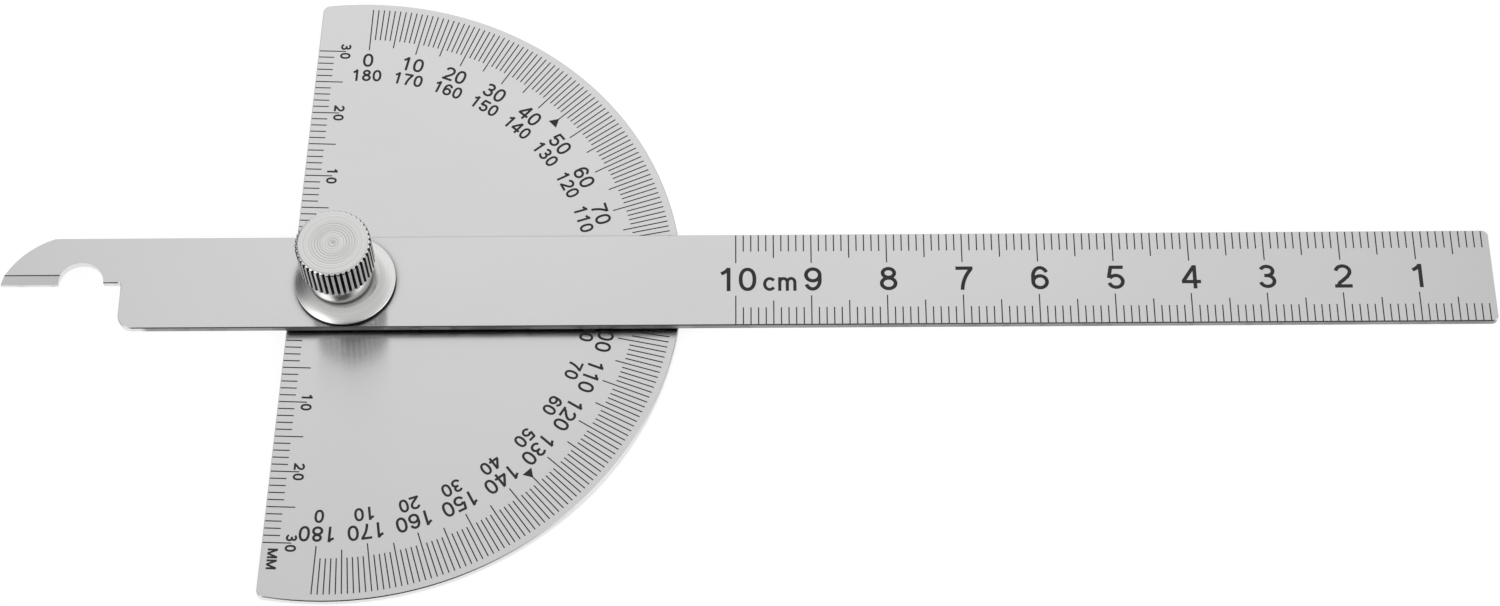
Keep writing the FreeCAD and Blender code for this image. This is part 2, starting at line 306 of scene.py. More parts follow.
class Nodes:
    """Short calls that add and join the nodes of a tree."""

    def __init__(self, tree):
        self.tree = tree

    def put(self, socket, value):
        """Link a node's output to a socket, or set the socket."""
        if isinstance(value, bpy.types.NodeSocket):
            self.tree.links.new(value, socket)
        else:
            socket.default_value = (*value[:3], 1.0) if socket.type == "RGBA" else value

    def give(self, node, inputs):
        """Set or link a node's inputs, with underscores for the spaces in their names."""
        for name, value in inputs.items():
            self.put(node.inputs[name.replace("_", " ")], value)

    def add(self, kind, options=None, **inputs):
        node = self.tree.nodes.new(f"ShaderNode{kind}")
        for name, value in (options or {}).items():
            setattr(node, name, value)
        self.give(node, inputs)
        return node

    def math(self, operation, *values):
        node = self.add("Math", {"operation": operation})
        for socket, value in zip(node.inputs, values):
            self.put(socket, value)
        return node.outputs[0]

    def spread(self, value, low, high, to_low=0.0, to_high=1.0):
        """Map a value from one range onto another, kept inside it."""
        return self.add("MapRange", Value=value, From_Min=low, From_Max=high,
                        To_Min=to_low, To_Max=to_high).outputs["Result"]

    def blend(self, share, first, second):
        """Mix two colours by a share."""
        node = self.add("Mix", {"data_type": "RGBA"})
        for index, value in ((0, share), (6, first), (7, second)):
            self.put(node.inputs[index], value)
        return node.outputs[2]

    def parts(self, vector):
        """The X, Y and Z of a vector."""
        return self.add("SeparateXYZ", Vector=vector).outputs


class Finish(Nodes):
    """A metal, mark or paper material."""

    def __init__(self, name, **surface):
        self.material = bpy.data.materials.new(name)
        self.material.use_nodes = True
        super().__init__(self.material.node_tree)
        self.paint(**surface)

    def paint(self, **inputs):
        """Set or link inputs of the surface."""
        self.give(self.tree.nodes["Principled BSDF"], inputs)

    def relief(self, strength, height):
        """Fine relief, as a normal for the surface."""
        return self.add("Bump", Strength=strength, Distance=RELIEF, Height=height).outputs[0]

    def place(self, turn=0.0, stretch=(1.0, 1.0, 1.0)):
        """Object coordinates, turned about the pivot and stretched."""
        coordinates = self.add("TexCoord").outputs["Object"]
        turned = self.add("Mapping", Vector=coordinates, Rotation=(0.0, 0.0, turn))
        return self.add("Mapping", Vector=turned.outputs[0], Scale=stretch).outputs[0]

    def noise(self, vector, detail=2.0, roughness=0.5):
        return self.add("TexNoise", Vector=vector, Scale=1.0, Detail=detail,
                        Roughness=roughness).outputs["Fac"]


def dimmed(tint, level):
    return [value * level for value in tint]


def grimed(metal, tone, reach, grime, spare=0.0):
    """Painted shade: darken a colour, apart from a spared share, where another surface is within
    reach.
    """
    open_share = metal.add("AmbientOcclusion", {"samples": 8}, Distance=reach).outputs["AO"]
    clean = metal.math("MAXIMUM", metal.spread(open_share, 0.3, 0.9), spare)
    return metal.blend(clean, grime, tone)


def brushed_sheet(name, finish, direction, sheared_from=None):
    """Stainless sheet brushed along one direction, with polished edges.

    Past the distance sheared_from along the grain the edges are sheared, and their dark colour is
    painted shade. Faces near other surfaces are darkened as painted shade too.
    """
    metal = Finish(name, Metallic=1.0, Anisotropic=1.0)
    turn = -direction
    fine = metal.noise(metal.place(turn, FINE_GRAIN), 3.0, 0.6)
    broad = metal.noise(metal.place(turn, BROAD_GRAIN), 2.0)
    cloudy = metal.noise(metal.place(turn, SHEET_CLOUDS), 3.0)
    grain = metal.math("MULTIPLY_ADD", fine, 0.6, metal.math("MULTIPLY", broad, 0.4))
    upright = metal.parts(metal.add("NewGeometry").outputs["Normal"])["Z"]
    edge = metal.spread(metal.math("ABSOLUTE", upright), 0.2, 0.6, 1.0, 0.0)

    def leaning(low, high, share):
        """Share of the faces whose normal rises between two ranges."""
        return metal.math("MULTIPLY", metal.spread(upright, *low, 0.0, share),
                          metal.spread(upright, *high, 1.0, 0.0))

    bevel = leaning((0.88, 0.9), (0.94, 0.96), 1.0)
    # The chamfers take part of the darkened sheared colour: a burr, with painted shade
    shaded_burr = leaning((0.55, 0.62), (0.8, 0.87), 0.6)
    cut, spare = finish.polished_edge, edge
    if sheared_from is not None:
        along = metal.parts(metal.place(turn))["X"]
        sheared = metal.spread(along, sheared_from, sheared_from + MM)
        # The arm's sheared sides, darkened as painted shade
        cut = metal.blend(sheared, cut, finish.cut_steel)
        spare = metal.math("MULTIPLY", edge, metal.math("SUBTRACT", 1.0, sheared))

    face = metal.blend(metal.spread(grain, 0.3, 0.7), dimmed(finish.steel, 0.955), finish.steel)
    face = metal.blend(bevel, face, finish.ground_bevel)
    face = metal.blend(shaded_burr, face, finish.cut_steel)
    tone = metal.blend(edge, face, cut)
    rough = metal.math("ADD", metal.spread(grain, 0.3, 0.7, 0.14, 0.18),
                       metal.spread(cloudy, 0.3, 0.7, -0.01, 0.015))
    rough = metal.math("MULTIPLY_ADD", edge, 0.15, rough)
    across = (-math.sin(direction), math.cos(direction), 0.0)
    tangent = metal.add("VectorTransform", {"vector_type": "VECTOR", "convert_from": "OBJECT",
                                            "convert_to": "WORLD"}, Vector=across)
    # Base colour darkened by painted shade where another surface is near
    metal.paint(Base_Color=grimed(metal, tone, SHEET_CONTACT, finish.grime, spare),
                Roughness=metal.math("MULTIPLY_ADD", bevel, 0.2, rough),
                Normal=metal.relief(0.05, grain), Tangent=tangent.outputs[0])
    return metal.material


def radius_from_axis(metal, offset):
    """Distance in millimetres from an upright axis beside the pivot's, and the height."""
    place = metal.add("Mapping", Vector=metal.add("TexCoord").outputs["Object"],
                      Location=(-offset, 0.0, 0.0))
    where = metal.parts(place.outputs[0])
    square = metal.math("ADD", metal.math("POWER", where["X"], 2.0),
                        metal.math("POWER", where["Y"], 2.0))
    return (metal.math("DIVIDE", metal.math("SQRT", square), MM),
            metal.math("DIVIDE", where["Z"], MM))


def turned_metal(name, bright, shade_tone, rough, worn, offset=0.0, dirt=None):
    """Plated metal with fine lathe lines round an upright axis.

    worn is the brightness left in the lathe lines.
    The function given last makes the share of painted shade, in the darker colour, from the metal,
    the radius and the height in millimetres. Faces near other surfaces also get painted shade in
    that colour.
    """
    metal = Finish(name, Metallic=1.0, Anisotropic=0.5)
    radius, height = radius_from_axis(metal, offset)
    rings = metal.add("CombineXYZ", X=metal.math("MULTIPLY", radius, 8.0),
                      Y=metal.math("MULTIPLY", height, 8.0)).outputs[0]
    lines = metal.noise(rings, 2.0, 0.7)
    clouds = metal.noise(metal.place(0.0, (450.0, 450.0, 450.0)), 3.0)
    wide_rings = metal.add("Mapping", Vector=rings, Scale=(0.35, 0.35, 0.35)).outputs[0]
    coarse = metal.noise(wide_rings, 1.0)
    shade = metal.math("MULTIPLY_ADD", coarse, 0.65, metal.math("MULTIPLY", lines, 0.35))
    tone = metal.blend(metal.spread(shade, 0.35, 0.6), dimmed(bright, worn), bright)
    if dirt:
        # Painted shade in the share that the given function makes
        tone = metal.blend(dirt(metal, radius, height), tone, shade_tone)
    rough = metal.math("ADD", metal.spread(lines, 0.3, 0.7, rough, rough + 0.06),
                       metal.spread(clouds, 0.3, 0.7, 0.0, 0.02))
    tangent = metal.add("Tangent", {"direction_type": "RADIAL", "axis": "Z"})
    # Base colour darkened by painted shade where another surface is near
    metal.paint(Base_Color=grimed(metal, tone, TURNED_CONTACT, shade_tone, 0.3), Roughness=rough,
                Normal=metal.relief(0.35, lines), Tangent=tangent.outputs[0])
    return metal.material


def etched_black(name, finish):
    """Dark oxide in an etched mark, a little thinner here and there."""
    oxide = Finish(name, Metallic=0.0, Specular_IOR_Level=0.2)
    patches = oxide.noise(oxide.place(0.0, (2200.0, 2200.0, 2200.0)), 4.0, 0.6)
    oxide.paint(Base_Color=oxide.blend(oxide.spread(patches, 0.4, 0.7), finish.mark,
                                       finish.mark_worn),
                Roughness=oxide.spread(patches, 0.3, 0.7, 0.45, 0.6),
                Normal=oxide.relief(0.3, patches))
    return oxide.material


def dress(node, material):
    """Give a construction node its material."""
    slots = frame["nodes"][node].data.materials
    slots.clear()
    slots.append(material)


def mark_material(context):
    """The marks' material, made the first time it is asked for."""
    name = "blackened_etching"
    return bpy.data.materials.get(name) or etched_black(name, settings(context, "finish"))


# Solids

def finish_piece(bm, name, material, body, sharp=math.radians(35)):
    """Turn a bmesh into a named piece that rides on a body."""
    bmesh.ops.recalc_face_normals(bm, faces=bm.faces)
    mesh = bpy.data.meshes.new(name)
    bm.to_mesh(mesh)
    bm.free()
    mesh.shade_smooth()
    mesh.set_sharp_from_angle(angle=sharp)
    piece = bpy.data.objects.new(name, mesh)
    piece.data.materials.append(material)
    bpy.context.scene.collection.objects.link(piece)
    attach(piece, body)
    return piece


def round_corners(points, radius, steps=3):
    """Round the inner corners of an open profile."""
    made = [points[0]]
    for before, corner, after in zip(points, points[1:], points[2:]):
        back = (Vector(before) - Vector(corner))
        onward = (Vector(after) - Vector(corner))
        half = back.angle(onward) / 2
        cut = min(radius / math.tan(half), 0.45 * min(back.length, onward.length))
        start = Vector(corner) + back.normalized() * cut
        end = Vector(corner) + onward.normalized() * cut
        for i in range(steps + 1):
            t = i / steps
            made.append(start.lerp(Vector(corner), t).lerp(Vector(corner).lerp(end, t), t))
    made.append(points[-1])
    return [Vector(point) for point in made]


def ring(bm, radius, height, segments):
    """A ring of vertices about the pivot axis, or one vertex on the axis."""
    if radius < ON_AXIS:
        return [bm.verts.new((0.0, 0.0, height))]
    angles = (FULL_TURN * i / segments for i in range(segments))
    return [bm.verts.new((radius * math.cos(a), radius * math.sin(a), height)) for a in angles]


def skin(bm, low, high):
    """Faces between two rings of vertices."""
    count = max(len(low), len(high))
    if len(low) == len(high) == 1:
        return
    for i in range(count):
        j = (i + 1) % count
        corners = [low[i % len(low)], low[j % len(low)], high[j % len(high)], high[i % len(high)]]
        bm.faces.new(dict.fromkeys(corners))


def lathe(bm, profile, segments, closed=False):
    """Turn a profile of radius and height about the pivot axis."""
    rings = [ring(bm, radius, height, segments) for radius, height in profile]
    for low, high in zip(rings, rings[1:]):
        skin(bm, low, high)
    if closed:
        skin(bm, rings[-1], rings[0])
    return rings


def clean(bm, distance):
    """Join vertices in one place and drop what then has no size."""
    bmesh.ops.remove_doubles(bm, verts=bm.verts, dist=distance)
    bmesh.ops.dissolve_degenerate(bm, edges=bm.edges, dist=distance)


# Numerals

def ellipse(centre, radii, start, end, steps, fullness=1.0):
    """Points along an elliptical arc between two angles in degrees.

    fullness below 1 squares the ellipse up, as the tall sides of a nought are.
    """
    made = []
    for i in range(steps + 1):
        angle = math.radians(start + (end - start) * i / steps)
        c, s = math.cos(angle), math.sin(angle)
        made.append((centre[0] + radii[0] * math.copysign(abs(c) ** fullness, c),
                     centre[1] + radii[1] * math.copysign(abs(s) ** fullness, s)))
    return made


DIGIT_LEFT, DIGIT_RIGHT, DIGIT_ADVANCE = 0.057, 0.72, 0.777
LOWER_CASE = 0.725
LETTER_ADVANCES = {"c": 0.7, "m": 0.96, "M": 1.164}


def digit_strokes(character, stroke):
    """Centre lines of a numeral of height 1."""
    half = stroke / 2
    left, right, low, high = DIGIT_LEFT + half, DIGIT_RIGHT - half, half, 1 - half
    middle, across = (left + right) / 2, (right - left) / 2
    waist = 0.535
    if character == "0":
        return [ellipse((middle, 0.5), (across, 0.5 - half), 0, 360, 28, 0.88)]
    if character == "1":
        stem = 0.52 - half
        return [[(stem, 0), (stem, 1)],
                [(0.165, 0.745), (0.27, 0.79), (0.36, 0.86), (stem, 0.97)]]
    if character == "2":
        bowl = ellipse((middle, 0.69), (across, high - 0.69), 172, -20, 14)
        sweep = [(0.55, 0.48), (0.4, 0.34), (0.24, 0.21), (left + 0.05, low)]
        return [bowl + sweep, [(0.05, low), (0.71, low)]]
    if character == "3":
        upper = (waist + high) / 2
        lower = (waist + low) / 2
        return [ellipse((middle - 0.01, upper), (across - 0.03, high - upper), 160, -90, 16)
                + [(0.28, waist)],
                ellipse((middle - 0.005, lower), (across, waist - lower), 90, -168, 18)]
    if character == "4":
        stem, bar = 0.513, 0.295
        return [[(stem, 0), (stem, 1)], [(0.018, bar), (0.735, bar)],
                [(0.065, bar + 0.01), (stem - 0.02, 0.955)]]
    if character == "5":
        bowl = ellipse((middle, 0.325), (across, 0.325 - half), 148, -165, 22)
        return [[(0.21, 0.93), (0.125, 0.47)], [(0.155, high), (0.68, high)], bowl]
    if character in "69":
        bowl = ellipse((middle, 0.325), (across, 0.325 - half), 0, 360, 26)
        back = ellipse((middle + 0.01, 0.56), (across + 0.01, high - 0.56), 28, 180, 14)
        strokes = [bowl, back + [(left, 0.42), (left + 0.005, 0.3)]]
        if character == "9":
            strokes = [[(2 * middle - x, 1 - y) for x, y in path] for path in strokes]
        return strokes
    if character == "7":
        return [[(0.07, high), (0.715, high)],
                [(0.655, 0.9), (0.54, 0.74), (0.44, 0.56), (0.37, 0.37), (0.325, 0.18), (0.31, 0)]]
    if character == "8":
        crown, base = 0.74, 0.298
        return [ellipse((middle, crown), (across - 0.04, high - crown), 0, 360, 24),
                ellipse((middle, base), (across, base - half), 0, 360, 26)]
    raise ValueError(f"no strokes for {character!r}")


def letter_strokes(character, stroke):
    """Centre lines of the letters of the unit marks, for a capital height of 1."""
    half = stroke / 2
    top = LOWER_CASE - half
    if character == "c":
        return [ellipse((0.365, LOWER_CASE / 2), (0.31 - half, LOWER_CASE / 2 - half), 38, 322, 22)]
    if character == "m":
        stems = (0.13, 0.48, 0.83)
        strokes = [[(stems[0], 0), (stems[0], LOWER_CASE - 0.01)]]
        for start, end in zip(stems, stems[1:]):
            reach_across = (end - start) / 2
            arch = ellipse((end - reach_across, top - 0.2), (reach_across, 0.2), 150, 0, 10)
            strokes.append([(start, top - 0.2)] + arch + [(end, 0)])
        return strokes
    if character == "M":
        left, right, middle = 0.165, 0.995, 0.58
        return [[(left, 0), (left, 1)], [(right, 0), (right, 1)],
                [(left + 0.01, 0.98), (middle, 0.02)], [(right - 0.01, 0.98), (middle, 0.02)]]
    raise ValueError(f"no strokes for {character!r}")


def ribbon(path, width):
    """Flat quads of one width along a path, mitred where it turns."""
    points = [Vector(point) for point in path]
    closed = (points[0] - points[-1]).length < 1e-6
    if closed:
        points.pop()
    count = len(points)
    sides = []
    for i, point in enumerate(points):
        before = points[i - 1] if i or closed else point
        after = points[(i + 1) % count] if i < count - 1 or closed else point
        arriving = (point - before) if before is not point else (after - point)
        leaving = (after - point) if after is not point else arriving
        arriving, leaving = arriving.normalized(), leaving.normalized()
        along = (arriving + leaving).normalized()
        normal = Vector((-along.y, along.x))
        spread = width / 2 / max(0.5, normal.dot(Vector((-leaving.y, leaving.x))))
        sides.append((point + normal * spread, point - normal * spread))
    last = count if closed else count - 1
    return [[sides[i][1], sides[(i + 1) % count][1], sides[(i + 1) % count][0], sides[i][0]]
            for i in range(last)]


class Shape:
    """A flat shape that marks are cut to: points, triangles and the edges of its outline."""

    known = {}

    def __init__(self, quads):
        points, faces = [], []
        for quad in quads:
            faces.append(list(range(len(points), len(points) + len(quad))))
            points.extend(quad)
        joined = delaunay_2d_cdt(points, [], faces, 0, 1e-5)
        self.points = joined[0]
        self.faces = [face for face, inside in zip(joined[2], joined[5]) if inside]
        sides = {}
        for face in self.faces:
            for i, j in zip(face, face[1:] + face[:1]):
                sides[(i, j)] = True
        self.outline = [(i, j) for i, j in sides if (j, i) not in sides]

    @classmethod
    def of_character(cls, character, stroke):
        key = (character, round(stroke, 4))
        if key not in cls.known:
            strokes = digit_strokes if character.isdigit() else letter_strokes
            quads = [quad for path in strokes(character, stroke) for quad in ribbon(path, stroke)]
            cls.known[key] = cls(quads)
        return cls.known[key]


def advance_of(character):
    return DIGIT_ADVANCE if character.isdigit() else LETTER_ADVANCES[character]


class Cutter:
    """Cuts marks into a face, each as a thin closed solid between two levels."""

    def __init__(self, bm, low, high):
        self.bm, self.levels = bm, (low, high)

    def solid(self, points, faces, outline):
        """Add a flat shape, whose faces run anticlockwise."""
        used = sorted({i for face in faces for i in face})
        foot, head = ({i: self.bm.verts.new((*points[i], level)) for i in used}
                      for level in self.levels)
        for face in faces:
            self.bm.faces.new([head[i] for i in face])
            self.bm.faces.new([foot[i] for i in reversed(face)])
        for i, j in outline:
            self.bm.faces.new([foot[i], foot[j], head[j], head[i]])

    def prism(self, corners):
        count = len(corners)
        self.solid(corners, [range(count)], [(i, (i + 1) % count) for i in range(count)])

    def line(self, start, end, width):
        """Cut a straight line between two flat points."""
        start, end = Vector(start), Vector(end)
        side = across(start, end) * width / 2
        self.prism([start - side, end - side, end + side, start + side])

    def write(self, text, point, up_angle, height, stroke, spacing=None):
        """Cut a word centred on a point, with its tops towards an angle."""
        turn = Matrix.Rotation(up_angle - math.pi / 2, 4, "Z")
        place = Matrix.Translation((*point, 0.0)) @ turn @ Matrix.Scale(height, 4)
        steps = [spacing / height if spacing else advance_of(character) for character in text]
        start = -sum(steps) / 2
        for character, step in zip(text, steps):
            offset = start + (step - advance_of(character)) / 2
            shape = Shape.of_character(character, stroke / height)
            shift = place @ Matrix.Translation((offset, -0.5, 0.0))
            points = [(shift @ Vector((x, y, 0.0))).xy for x, y in shape.points]
            self.solid(points, shape.faces, shape.outline)
            start += step


def across(start, end):
    """Direction that points to the left on the way from one flat point to another."""
    along = (end - start).normalized()
    return Vector((-along.y, along.x))


def line_size(count, scale):
    """Length of a scale's line, which is greater at fives and tens."""
    if count % 10 == 0:
        return scale.long_line
    return scale.middle_line if count % 5 == 0 else scale.short_line


def on_dial(radius, degrees):
    """Flat point at a reading of the outer scale, which counts clockwise from +Y."""
    angle = math.radians(degrees)
    return Vector((radius * math.sin(angle), radius * math.cos(angle)))


def mark_piece(context, name, body, level, draw):
    """Make a piece of etched marks on a face at a level."""
    marks = settings(context, "marks")
    bm = bmesh.new()
    draw(Cutter(bm, level - marks.depth, level + marks.proud))
    return finish_piece(bm, name, mark_material(context), body)


# Operators

class ANGLEFINDER_OT_plate(bpy.types.Operator):
    """Give the protractor plate its brushed finish"""

    bl_idname = "angle_finder.plate"
    bl_label = "Protractor plate"

    def execute(self, context):
        finish = settings(context, "finish")
        dress("protractor_plate", brushed_sheet("plate_steel_brushed", finish, 0.0))
        return {"FINISHED"}


class ANGLEFINDER_OT_degree_scale(bpy.types.Operator):
    """Cut the degree lines, both rows of numerals and the pointers at 45 and 135"""

    bl_idname = "angle_finder.degree_scale"
    bl_label = "Degree scale"

    def execute(self, context):
        dial, marks = settings(context, "degrees"), settings(context, "marks")
        rim = PLATE_RADIUS - dial.margin

        def lines(cutter):
            for degree in range(181):
                start = on_dial(rim - line_size(degree, dial), degree)
                cutter.line(start, on_dial(rim, degree), marks.fine_line)

        def pointers(cutter):
            for degree in (45, 135):
                base, tip = on_dial(dial.pointer_foot, degree), on_dial(dial.pointer_tip, degree)
                side = across(base, tip) * dial.pointer_width / 2
                cutter.prism([base - side, tip, base + side])

        def numerals(radius, height, stroke, label):
            def draw(cutter):
                for degree in range(0, 181, 10):
                    cutter.write(str(label(degree)), on_dial(radius, degree),
                                 math.pi / 2 - math.radians(degree), height, stroke)
            return draw

        mark_piece(context, "degree_lines", "protractor", PLATE_TOP, lines)
        mark_piece(context, "degree_pointers", "protractor", PLATE_TOP, pointers)
        mark_piece(context, "outer_degree_numerals", "protractor", PLATE_TOP,
                   numerals(dial.outer_radius, dial.outer_height, dial.outer_stroke,
                            lambda degree: degree))
        mark_piece(context, "inner_degree_numerals", "protractor", PLATE_TOP,
                   numerals(dial.inner_radius, dial.inner_height, dial.inner_stroke,
                            lambda degree: 180 - degree))
        return {"FINISHED"}


class ANGLEFINDER_OT_edge_scale(bpy.types.Operator):
    """Cut the millimetre scale along the straight edge"""

    bl_idname = "angle_finder.edge_scale"
    bl_label = "Straight edge scale"

    def execute(self, context):
        scale, marks = settings(context, "edge_scale"), settings(context, "marks")
        start = PLATE_EDGE + marks.edge_margin

        def lines(cutter):
            for side in (1, -1):
                for count in range(scale.count + 1):
                    y = side * (scale.zero + count * MM)
                    size = scale.long_line if count % 5 == 0 else scale.short_line
                    cutter.line((start, y), (PLATE_EDGE + size, y), marks.rule_line)

        def numerals(cutter):
            x = PLATE_EDGE + scale.numeral_inset + scale.numeral_height / 2
            for side in (1, -1):
                for count in range(10, scale.count + 1, 10):
                    cutter.write(str(count), (x, side * (scale.zero + count * MM)), 0.0,
                                 scale.numeral_height, scale.stroke, scale.numeral_spacing)

        def unit(cutter):
            x = PLATE_EDGE + scale.unit_inset + scale.unit_height / 2
            cutter.write("MM", (x, -scale.unit_place), 0.0, scale.unit_height, scale.stroke)

        mark_piece(context, "edge_millimetre_lines", "protractor", PLATE_TOP, lines)
        mark_piece(context, "edge_numerals", "protractor", PLATE_TOP, numerals)
        mark_piece(context, "edge_unit_mark", "protractor", PLATE_TOP, unit)
        return {"FINISHED"}


class ANGLEFINDER_OT_arm(bpy.types.Operator):
    """Give the ruler arm its brushed finish and a dark line of painted shade along its index bevel
    """

    bl_idname = "angle_finder.arm"
    bl_label = "Ruler arm"

    def execute(self, context):
        finish, scale = settings(context, "finish"), settings(context, "arm_scale")
        turn = Matrix.Rotation(ARM_DIRECTION, 2)
        on_top = [vertex.co.xy @ turn for vertex in frame["nodes"]["ruler_arm"].data.vertices
                  if abs(vertex.co.z - ARM_TOP) < SAME_PLACE]
        step = min(point.x for point in on_top if point.y < -scale.bevel)
        ends = [point.x for point in on_top
                if abs(point.y - scale.bevel) < 0.02 * MM and point.x < step]
        dress("ruler_arm", brushed_sheet("arm_steel_brushed", finish, ARM_DIRECTION,
                                         step + SHEARED_PAST_STEP))

        # A black line of painted shade along the bevel's crease
        def crease(cutter):
            start, end = (turn @ Vector((x, scale.bevel)) for x in (min(ends), max(ends)))
            cutter.line(start, end, scale.crease)

        mark_piece(context, "index_bevel_shade_line", "arm", ARM_TOP, crease)
        return {"FINISHED"}


class ANGLEFINDER_OT_arm_scale(bpy.types.Operator):
    """Cut the millimetre scale and the centimetre numerals on the arm"""

    bl_idname = "angle_finder.arm_scale"
    bl_label = "Arm scale"

    def execute(self, context):
        scale, marks = settings(context, "arm_scale"), settings(context, "marks")
        turn, up = Matrix.Rotation(ARM_DIRECTION, 2), ARM_DIRECTION + math.pi / 2

        def lines(cutter):
            for count in range(1, scale.count + 1):
                x = ARM_REACH - count * MM
                for side in (1, -1):
                    outer = side * (scale.width / 2 - marks.edge_margin)
                    inner = side * (scale.width / 2 - line_size(count, scale))
                    cutter.line(turn @ Vector((x, outer)), turn @ Vector((x, inner)),
                                marks.rule_line)

        def numerals(cutter):
            for count in range(10, scale.count + 1, 10):
                point = turn @ Vector((ARM_REACH - count * MM + scale.numeral_shift, 0.0))
                cutter.write(str(count // 10), point, up, scale.numeral_height,
                             scale.numeral_stroke)

        def unit(cutter):
            width = (advance_of("c") + advance_of("m")) * scale.unit_height
            centre = ARM_REACH - scale.count * MM + scale.unit_offset + width / 2
            baseline = -(scale.numeral_height - scale.unit_height) / 2
            cutter.write("cm", turn @ Vector((centre, baseline)), up, scale.unit_height,
                         scale.unit_stroke)

        mark_piece(context, "arm_millimetre_lines", "arm", ARM_TOP, lines)
        mark_piece(context, "arm_numerals", "arm", ARM_TOP, numerals)
        mark_piece(context, "arm_unit_mark", "arm", ARM_TOP, unit)
        return {"FINISHED"}


class ANGLEFINDER_OT_stud(bpy.types.Operator):
    """Turn the shoulder stud with its real thread"""

    bl_idname = "angle_finder.stud"
    bl_label = "Pivot stud"

    SEGMENTS = 72
    ROWS = 8

    def execute(self, context):
        stud = settings(context, "stud")
        shank_top = ARM_TOP - stud.shank_gap
        bm = bmesh.new()
        lathe(bm, [
            (0.0, 0.0), (stud.tail_radius, 0.0), (stud.neck_radius, stud.tail_depth),
            (stud.neck_radius, PLATE_TOP), (stud.collar_radius, PLATE_TOP),
            (stud.collar_radius, ARM_BOTTOM), (stud.shank_radius, ARM_BOTTOM),
            (stud.shank_radius, shank_top), (stud.root_radius, shank_top),
        ], self.SEGMENTS)
        self.thread(bm, stud, shank_top)
        lathe(bm, [(stud.root_radius, STUD_TOP), (0.0, STUD_TOP)], self.SEGMENTS)
        clean(bm, SAME_PLACE)
        finish = settings(context, "finish")
        steel = turned_metal("stud_steel_turned", finish.turned_steel, finish.groove, 0.2, 0.85)
        piece = finish_piece(bm, "threaded_stud", steel, "protractor")
        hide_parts("pivot_stud")
        return {"FINISHED"}

    def thread(self, bm, stud, bottom):
        """A helical ridge between two plain rings of the root's radius."""
        depth = stud.crest_radius - stud.root_radius
        turns = math.ceil((STUD_TOP - bottom) / stud.pitch) + 1
        columns = {}
        for step in range(turns * self.SEGMENTS + 1):
            angle = FULL_TURN * step / self.SEGMENTS
            for row in range(self.ROWS + 1):
                rise = stud.pitch * (step / self.SEGMENTS - 1 + row / self.ROWS)
                height = min(max(bottom + rise, bottom), STUD_TOP)
                ridge = 1 - abs(2 * row / self.ROWS - 1)
                runout = min(height - bottom, STUD_TOP - height)
                radius = stud.root_radius + min(depth * min(1.0, 1.25 * ridge), runout)
                columns[step, row] = bm.verts.new((
                    radius * math.cos(angle), radius * math.sin(angle), height))
        for step in range(turns * self.SEGMENTS):
            for row in range(self.ROWS):
                bm.faces.new([columns[step, row], columns[step + 1, row],
                              columns[step + 1, row + 1], columns[step, row + 1]])


class ANGLEFINDER_OT_washer(bpy.types.Operator):
    """Press the domed washer"""

    bl_idname = "angle_finder.washer"
    bl_label = "Domed washer"

    SEGMENTS = 192
    DOME_STEPS = 14

    def execute(self, context):
        washer = settings(context, "washer")
        low, high = box_of("domed_washer")
        rim, crown = (high.y - low.y) / 2, washer.crown_radius
        foot, top = ARM_TOP, NUT_SEAT
        side = self.dome(Vector((rim, foot + washer.thickness)), Vector((crown, top)),
                         washer.dome_radius)
        profile = [Vector((rim - washer.undercut, foot))] + side + [
            Vector((washer.hole_radius, top)), Vector((washer.hole_radius, top - washer.thickness)),
            Vector((crown, top - washer.thickness)), Vector((rim - washer.foot, foot))]
        seam = (profile[0] + profile[-1]) / 2
        rounded = round_corners([seam, *profile, seam], washer.edge_radius)
        bm = bmesh.new()
        lathe(bm, rounded[:-1], self.SEGMENTS, closed=True)
        offset = (low.x + high.x) / 2
        bmesh.ops.translate(bm, verts=bm.verts, vec=(offset, 0.0, 0.0))
        finish = settings(context, "finish")

        def dirt(metal, radius, height):
            """Painted shade under the rim, where the washer meets the arm."""
            outside = metal.spread(radius, rim / MM - 0.3, rim / MM - 0.2)
            ceiling = (foot + washer.seam) / MM
            below = metal.spread(height, ceiling - 0.05, ceiling, 1.0, 0.0)
            return metal.math("MULTIPLY", outside, below)

        # Painted shade under the rim
        nickel = turned_metal("washer_nickel", finish.nickel, finish.groove, 0.2, 0.92, offset,
                              dirt)
        piece = finish_piece(bm, "pressed_washer", nickel, "washer")
        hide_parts("domed_washer")
        return {"FINISHED"}

    def dome(self, start, end, radius):
        """Points of the arc that bulges up and outwards from the rim to the crown."""
        chord = end - start
        inward = Vector((-chord.y, chord.x)).normalized()
        centre = (start + end) / 2 + inward * math.sqrt(radius ** 2 - (chord.length / 2) ** 2)
        angles = [math.atan2(point.y - centre.y, point.x - centre.x) for point in (start, end)]
        made = []
        for i in range(self.DOME_STEPS + 1):
            angle = angles[0] + (angles[1] - angles[0]) * i / self.DOME_STEPS
            made.append(centre + radius * Vector((math.cos(angle), math.sin(angle))))
        return made


